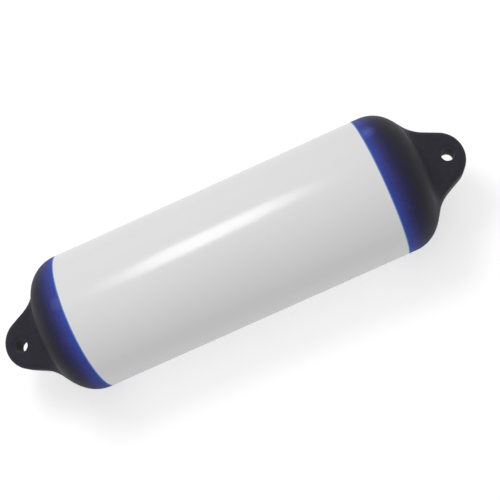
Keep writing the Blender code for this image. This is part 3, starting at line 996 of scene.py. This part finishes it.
def make_floor():
    """A wide plain white floor that keeps the fender's shadow."""
    mesh = bpy.data.meshes.new("floor")
    shape = bmesh.new()
    bmesh.ops.create_grid(shape, x_segments=1, y_segments=1, size=FLOOR_HALF_WIDTH)
    shape.to_mesh(mesh)
    shape.free()
    floor = bpy.data.objects.new("floor", mesh)
    bpy.context.scene.collection.objects.link(floor)
    finish, tree, shader = new_finish("floor_white")
    tree.nodes.remove(shader)
    paint = tree.nodes.new("ShaderNodeBsdfDiffuse")
    paint.inputs["Color"].default_value = FLOOR_PAINT
    glow = tree.nodes.new("ShaderNodeEmission")
    glow.inputs["Color"].default_value = PLAIN_WHITE
    seen, passed_on = background_rays(tree)
    lift = reckon(tree, "MULTIPLY", passed_on, FLOOR_LIFT_IN_GLOSS)
    wire(tree, reckon(tree, "MULTIPLY_ADD", seen, FLOOR_LIFT, lift), glow.inputs["Strength"])
    both = tree.nodes.new("ShaderNodeAddShader")
    wire(tree, paint.outputs[0], both.inputs[0])
    wire(tree, glow.outputs[0], both.inputs[1])
    wire(tree, both.outputs[0], tree.nodes["Material Output"].inputs["Surface"])
    mesh.materials.append(finish)


def make_world():
    """Soft even light from all round, white to the camera and in what glossy or clear pieces show."""
    world = bpy.data.worlds.new("studio")
    bpy.context.scene.world = world
    world.use_nodes = True
    tree = world.node_tree
    sky = tree.nodes["Background"]
    sky.inputs["Color"].default_value = PLAIN_WHITE
    seen, passed_on = background_rays(tree)
    outward = tree.nodes.new("ShaderNodeTexCoord").outputs["Generated"]
    y, z = split(tree, outward)[1:]
    far = reckon(tree, "MAXIMUM", y, 0.0)
    near = reckon(tree, "MAXIMUM", reckon(tree, "MULTIPLY", y, -1.0), 0.0)
    high_far = reckon(tree, "MULTIPLY", far, reckon(tree, "MAXIMUM", z, 0.0))
    low_near = reckon(tree, "POWER", near, NEAR_EDGE_FALLOFF)
    even = reckon(tree, "MULTIPLY_ADD", low_near, NEAR_EDGE_LIGHT, EVEN_LIGHT)
    soft = reckon(tree, "MULTIPLY_ADD", high_far, FAR_SIDE_LIGHT, even)
    strength = remap(tree, reckon(tree, "MAXIMUM", seen, passed_on), 0.0, 1.0, soft, 1.0)
    wire(tree, strength, sky.inputs["Strength"])


def make_lamp(name, along, width, power):
    """One soft slice of the lamp strip: its place along the strip, its width across it and its power."""
    light = bpy.data.lights.new(name, "AREA")
    light.shape = "RECTANGLE"
    light.size = STRIP_SLICE
    light.size_y = width
    light.energy = power
    lamp = bpy.data.objects.new(name, light)
    bpy.context.scene.collection.objects.link(lamp)
    back = (Vector(STRIP_PLACE) - Vector(STRIP_AIM)).normalized()
    length = Vector((1.0, 0.0, 0.0))
    across = back.cross(length).normalized()
    place = Vector(STRIP_PLACE) + length * along + across * along * STRIP_SLANT
    facing = Matrix((length, across, back)).transposed()
    lamp.matrix_world = Matrix.Translation(place) @ facing.to_4x4()


def make_lamps():
    """The slanting strip that draws the long highlight; it fades and narrows toward its ends."""
    for index, (along, width, power) in enumerate(STRIP_SLICES):
        make_lamp(f"strip_{index + 1}", along, width, power)


def make_camera():
    """The photograph's view: from nearly straight above, the fender's valve end at the upper right."""
    data = bpy.data.cameras.new("camera")
    data.sensor_width = CAMERA_SENSOR
    data.lens = CAMERA_LENS
    camera = bpy.data.objects.new("camera", data)
    bpy.context.scene.collection.objects.link(camera)
    camera.location = CAMERA_PLACE
    camera.rotation_euler = Euler([math.radians(turn) for turn in CAMERA_TURN])
    bpy.context.scene.camera = camera


def main():
    """Make every piece, then the floor, light and camera."""
    skin = make_skin(make_white_finish(), make_coat_finish())
    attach(skin, "root")
    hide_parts("fender_body")
    insert = make_valve_insert(make_plastic_finish("valve_plastic", VALVE_SHADES, VALVE_ROUGHNESS))
    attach(insert, "root")
    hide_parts("valve_body")
    gasket = make_valve_gasket(make_plastic_finish("seal_rubber", SEAL_SHADES, SEAL_ROUGHNESS))
    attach(gasket, "root")
    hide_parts("valve_seal_ring")
    plug = make_valve_plug(make_plastic_finish("screw_plastic", SCREW_SHADES, SCREW_ROUGHNESS))
    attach(plug, "root")
    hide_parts("valve_screw")
    make_floor()
    make_world()
    make_lamps()
    make_camera()
    bpy.context.scene.view_settings.view_transform = "Standard"


main()
